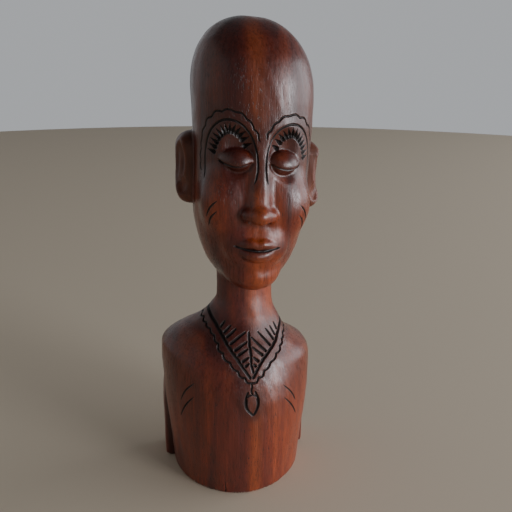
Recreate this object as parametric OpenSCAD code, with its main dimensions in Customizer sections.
// Carved wooden bust: a tall head on a slim neck, over a rounded chest block with the arms
// carved against its sides. The real thing is one billet, so every node below is a region
// of that billet and meets its neighbours on flat cutting planes, with no gap or overlap.
//
// Frame: millimetres, +Z up, the face towards -Y, the figure's left side towards +X,
// origin at the centre of the flat base.
//
// Each region is first drawn upright and symmetric, and carved() then leans it the way the
// hand-cut billet leans.

/* [Figure] */
// Height of the whole figure, base to crown
figure_h = 300; // [270:5:330]
// Width of the chest block across the arms
body_w = 102; // [94:1:110]
// Distance from the base's centre to the belly's front
belly_front = 42; // [39:0.5:45]
// Distance from the base's centre to the back
back_rear = 36.5; // [34:0.5:44]

/* [Neck] */
// Width of the neck at its narrowest
neck_w = 36; // [33:1:39]

/* [Head] */
// Width of the head across the temples
head_w = 72; // [68:1:78]
// Distance from the base's centre to the front of the face, without the nose
face_front = 36; // [33:0.5:39]
// Distance from the base's centre to the back of the skull
skull_rear = 36.5; // [33:0.5:40]
// Width across the outer edges of the ears
ear_span = 90; // [87:1:96]
// Width of one ear from its front edge to its back rim
ear_w = 22; // [18:1:26]

/* [Arms] */
// Thickness of one arm, from the cut beside the chest outwards
arm_t = 10; // [8:0.5:12]
// Distance from the base's centre back to the arms' front edge
arm_front = 11; // [8:1:14]
// Width of one arm from its front edge to its back edge
arm_w = 20; // [17:1:22]

/* [Hand carving] */
// Sideways shift of the head from the centre of the base
lean = 9; // [0:1:11]
// Slope of the shoulder and ear lines, falling towards +X
slant = 0.09; // [0:0.01:0.11]
// Extra slope of the collar line
collar_slant = 0.07; // [0:0.01:0.1]

/* [Hidden] */

wood = [0.36, 0.17, 0.11];
wood_light = [0.42, 0.2, 0.13];
wood_ear = [0.45, 0.28, 0.2];

segments = 56;       // points round one ring
chest_rings = 30;
neck_rings = 7;
head_rings = 36;
arm_rings = 10;
ball_sides = 20;     // roundness of the balls inside the hulls
big = 2 * figure_h;  // size of the boxes that only cut

// Heights
collar_z = 0.39 * figure_h;               // the shoulders meet the neck
chin_z = 0.47 * figure_h;                 // underside of the chin, where the neck ends
arm_z = 0.28 * figure_h;                  // the arms run out into the shoulders
head_h = figure_h - chin_z;
eye_z = chin_z + head_h / 2;              // the eyes are half way up the head
brow_z = chin_z + 0.58 * head_h;
nose_z = (brow_z + chin_z) / 2;           // the nose ends half way from brow to chin
mouth_z = nose_z - (nose_z - chin_z) / 3;
ear_z = (brow_z + nose_z) / 2;            // the ears span from the brow to the nose
ear_h = brow_z - nose_z;
eye_x = head_w / 5;                       // the head is five eyes wide

chest_mid = 8;       // the block is widest this far behind the base's centre
foot_power = 1.9;    // the block's front is a little pointed at its foot,
front_power = 2.05;  // a plain oval above,
back_power = 2.9;    // and its back is squarer
neck_r = neck_w / 2;

// Rows of the block: height, half width, front and back distances from the Z axis
chest_rows = [
    [0,                0.88 * body_w / 2,  belly_front - 3.2,  back_rear - 1],
    [0.08 * figure_h,  0.915 * body_w / 2, belly_front - 0.8,  back_rear - 0.3],
    [0.16 * figure_h,  0.96 * body_w / 2,  belly_front,        back_rear],
    [0.22 * figure_h,  0.985 * body_w / 2, belly_front - 1,    back_rear],
    [0.26 * figure_h,  0.995 * body_w / 2, belly_front - 3.5,  back_rear - 0.8],
    [0.3 * figure_h,   0.99 * body_w / 2,  belly_front - 7.7,  back_rear - 3],
    [0.316 * figure_h, 0.94 * body_w / 2,  belly_front - 9.8,  back_rear - 5],
    [0.328 * figure_h, 0.865 * body_w / 2, belly_front - 11.6, back_rear - 7],
    [0.343 * figure_h, 0.74 * body_w / 2,  belly_front - 14.1, back_rear - 10],
    [0.363 * figure_h, 1.65 * neck_r,      belly_front - 18,   back_rear - 14],
    [collar_z,         1.3 * neck_r,       belly_front - 23,   back_rear - 16]
];

neck_rows = [
    [collar_z,         1.3 * neck_r,  belly_front - 23, back_rear - 16],
    [0.415 * figure_h, 1.05 * neck_r, neck_r - 1,       neck_r + 2],
    [0.44 * figure_h,  neck_r,        neck_r - 3,       neck_r + 1],
    [chin_z,           neck_r,        neck_r - 3.5,     neck_r + 0.5]
];

// Rows of the head: share of its height, and shares of its half width, front and back
// before the crown and the underside are rounded off
head_rows = [
    [0,    0.8,  0.97, 0.88],
    [0.15, 0.88, 1.0,  0.88],
    [0.3,  0.95, 1.01, 0.94],
    [0.5,  0.97, 0.99, 1.0],
    [0.7,  1.0,  0.98, 1.0],
    [0.85, 1.01, 0.99, 1.0],
    [1,    1.0,  1.0,  1.0]
];
crown_start = 0.72;  // share of the head's height where the crown starts to close
jaw_start = 0.3;     // share of the head's height where the jaw starts to close
jaw_flat = 0.86;     // how far the jaw has closed where it meets the neck
crown_power = 2.3;   // roundness of the crown
jaw_power = 2.5;     // roundness of the jaw
head_power = 2.4;    // corner power of the head's rings

// From 0 to 1 as z goes from low to high, with soft ends
function ease(z, low, high) =
    let (t = max(0, min(1, (z - low) / (high - low)))) t * t * (3 - 2 * t);

function drift(z) =
    lean * (0.5 * ease(z, 0.3 * figure_h, 0.41 * figure_h)
        + 0.5 * ease(z, 0.43 * figure_h, 0.83 * figure_h));

function fall(z) =
    slant * ease(z, 0.08 * figure_h, 0.33 * figure_h)
    + collar_slant * ease(z, 0.31 * figure_h, 0.36 * figure_h) * (1 - ease(z, collar_z, chin_z));

// A point of the upright block, carried to its place in the leaning figure
function carved(p) = [p.x + drift(p.z), p.y, p.z - fall(p.z) * p.x];

// Column k of the rows at height z, on a smooth curve through the rows
function rise(rows, i, k) =
    let (low = max(i - 1, 0), high = min(i + 1, len(rows) - 1))
    (rows[high][k] - rows[low][k]) / (rows[high][0] - rows[low][0]);

function row_under(rows, z, i = 0) =
    i >= len(rows) - 2 || z < rows[i + 1][0] ? i : row_under(rows, z, i + 1);

function along(rows, z, k) =
    let (
        i = row_under(rows, z),
        gap = rows[i + 1][0] - rows[i][0],
        t = (z - rows[i][0]) / gap,
        start = rows[i][k],
        end = rows[i + 1][k]
    )
    start * (2 * t * t * t - 3 * t * t + 1) + end * (3 * t * t - 2 * t * t * t)
        + gap * rise(rows, i, k) * (t * t * t - 2 * t * t + t)
        + gap * rise(rows, i + 1, k) * (t * t * t - t * t);

// Ring at height z: half width a, front f and back b, widest at y = mid. Its front and back
// halves have their own corner powers, from 2 for an oval upwards for squarer corners.
function ring(z, a, f, b, mid, powers) = [
    for (i = [0 : segments - 1])
        let (
            turn = 360 * (i + 0.5) / segments,
            c = cos(turn),
            s = sin(turn),
            n = s < 0 ? powers[0] : powers[1],
            reach = s < 0 ? f + mid : b - mid
        )
        carved([
            a * sign(c) * pow(abs(c), 2 / n),
            mid + reach * sign(s) * pow(abs(s), 2 / n),
            z
        ])
];

// How much of its width a rounded end keeps, at q from 0 where it starts to 1 at its tip
function rounded(q, power) = pow(max(0, 1 - pow(max(q, 0), power)), 1 / power);

// Skins rings of points, from the lowest up, into one closed solid
module skin(rings) {
    n = len(rings[0]);
    top = (len(rings) - 1) * n;
    polyhedron(
        points = [for (r = rings) each r],
        faces = [
            [for (i = [0 : n - 1]) i],
            for (k = [0 : len(rings) - 2], i = [0 : n - 1])
                let (a = k * n + i, b = k * n + (i + 1) % n)
                each [[a, a + n, b], [b, a + n, b + n]],
            [for (i = [n - 1 : -1 : 0]) top + i]
        ]
    );
}

// 0 in the block, 1 in the round neck
function roundness(z) = ease(z, 0.3 * figure_h, collar_z);

// Corner powers of the ring at height z, front and back
function corners(z) =
    let (front = foot_power + (front_power - foot_power) * ease(z, 0, 0.22 * figure_h))
    [front, back_power] * (1 - roundness(z)) + [2, 2] * roundness(z);

// Skins smooth rows of height, half width, front and back
module skinned_rows(rows, count) {
    low = rows[0][0];
    high = rows[len(rows) - 1][0];
    skin([
        for (k = [0 : count])
            let (z = low + (high - low) * k / count)
            ring(z, along(rows, z, 1), along(rows, z, 2), along(rows, z, 3),
                chest_mid * (1 - roundness(z)), corners(z))
    ]);
}

// The whole block from base to collar, without the arms' own thickness
module chest_block()
    skinned_rows(chest_rows, chest_rings);

// One arm slab as it stands on the base; side is -1 for the figure's right, 1 for its left
module arm_slab(side) {
    inner = body_w / 2 - arm_t - 5;
    bevel = 3;
    skin([
        for (k = [0 : arm_rings])
            let (
                z = arm_z * k / arm_rings,
                outer = body_w / 2 - arm_t / 2 * ease(z, 0.5 * arm_z, arm_z),
                outline = [
                    [inner, arm_front],
                    [outer - bevel, arm_front],
                    [outer, arm_front + bevel],
                    [outer, arm_front + arm_w - 2 * bevel],
                    [outer - 2 * bevel, arm_front + arm_w],
                    [inner, arm_front + arm_w]
                ],
                last = len(outline) - 1
            )
            [for (i = [0 : last]) let (p = outline[side > 0 ? i : last - i])
                carved([side * p.x, p.y, z])]
    ]);
}

// The space that belongs to one arm
module arm_zone(side)
    translate([side > 0 ? body_w / 2 - arm_t : arm_t - body_w / 2 - big, arm_front, -big / 2])
        cube([big, arm_w, big / 2 + arm_z]);

module chest()
    color(wood)
        difference() {
            chest_block();
            arm_zone(-1);
            arm_zone(1);
        }

module arm(side)
    color(wood)
        intersection() {
            union() {
                chest_block();
                arm_slab(side);
            }
            arm_zone(side);
        }

module neck()
    color(wood_light)
        skinned_rows(neck_rows, neck_rings);

// The plain egg of the head. Its rings crowd together towards the crown and the chin.
module skull()
    skin([
        for (k = [0 : head_rings])
            let (
                t = 0.5 - 0.5 * cos(176 * k / head_rings),
                close = rounded((t - crown_start) / (1 - crown_start), crown_power)
                    * rounded(jaw_flat * (jaw_start - t) / jaw_start, jaw_power)
            )
            ring(chin_z + t * head_h, head_w / 2 * along(head_rows, t, 1) * close,
                face_front * along(head_rows, t, 2) * close,
                skull_rear * along(head_rows, t, 3) * close, 0, [head_power, head_power])
    ]);

// A small ball of the given half sizes, for the hulls that round the features
module ball(at, size)
    translate(at)
        scale(size)
            sphere(1, $fn = ball_sides);

module nose() {
    tip = face_front + 6;
    hull() {
        ball([0, 1 - face_front, brow_z - 6], [4, 3, 5]);
        ball([0, -tip, nose_z + 6.5], [4.5, 4, 5]);
    }
    hull() {
        ball([-7, -face_front, nose_z + 4.5], [4, 4.5, 4]);
        ball([7, -face_front, nose_z + 4.5], [4, 4.5, 4]);
        ball([0, -tip, nose_z + 5.5], [5, 4, 4.5]);
    }
}

module lips()
    for (up = [-1, 1])
        hull()
            for (x = [-1, 0, 1])
                ball([x * 9, abs(x) * 2 - face_front - 1, mouth_z + up * 3], [4, 3.6, 3.2]);

module eyelids()
    for (side = [-1, 1])
        hull()
            for (x = [-1, 1])
                ball([side * eye_x + x * 4, 6 - face_front, eye_z], [4.5, 4.5, 5]);

// Ear outline, seen from the side, from its front edge back to its rim
module ear_outline()
    hull() {
        translate([ear_w / 2, ear_h / 2 - ear_w / 2])
            circle(ear_w / 2);
        translate([0.36 * ear_w, 0.34 * ear_w - ear_h / 2])
            circle(0.34 * ear_w);
    }

// One ear with its hollow, at its height on the upright head
module ear_form(side) {
    root = head_w / 2 - 9;
    outer = ear_span / 2;
    translate([0, 0, ear_z])
        mirror([side < 0 ? 1 : 0, 0, 0])
            difference() {
                translate([root, -4, 0])
                    rotate([90, 0, 90])
                        linear_extrude(outer - root)
                            ear_outline($fn = 48);
                hull() {
                    ball([outer + 1, 0.36 * ear_w - 4, 0.2 * ear_h], [4, 6, 8]);
                    ball([outer + 1, 0.3 * ear_w - 4, -0.16 * ear_h], [4, 4, 6]);
                }
            }
}

// The space of one ear, outside the side of the head
module ear_zone(side)
    translate([side > 0 ? head_w / 2 - 0.5 : 0.5 - head_w / 2 - big, -big / 2, -big / 2])
        cube(big);

// Carries a level feature from the upright head to its place on the leaning one
module on_head(z)
    multmatrix([[1, 0, 0, drift(z)], [0, 1, 0, 0], [-fall(z), 0, 1, 0], [0, 0, 0, 1]])
        children();

module head()
    color(wood_light) {
        skull();
        on_head(nose_z) nose();
        on_head(mouth_z) lips();
        on_head(eye_z) eyelids();
        on_head(ear_z)
            for (side = [-1, 1])
                difference() {
                    ear_form(side);
                    ear_zone(side);
                }
    }

module ear(side)
    color(wood_ear)
        on_head(ear_z)
            intersection() {
                ear_form(side);
                ear_zone(side);
            }

chest();
arm(-1);  // arm_right
arm(1);  // arm_left
neck();
head();
ear(-1);  // ear_right
ear(1);  // ear_left
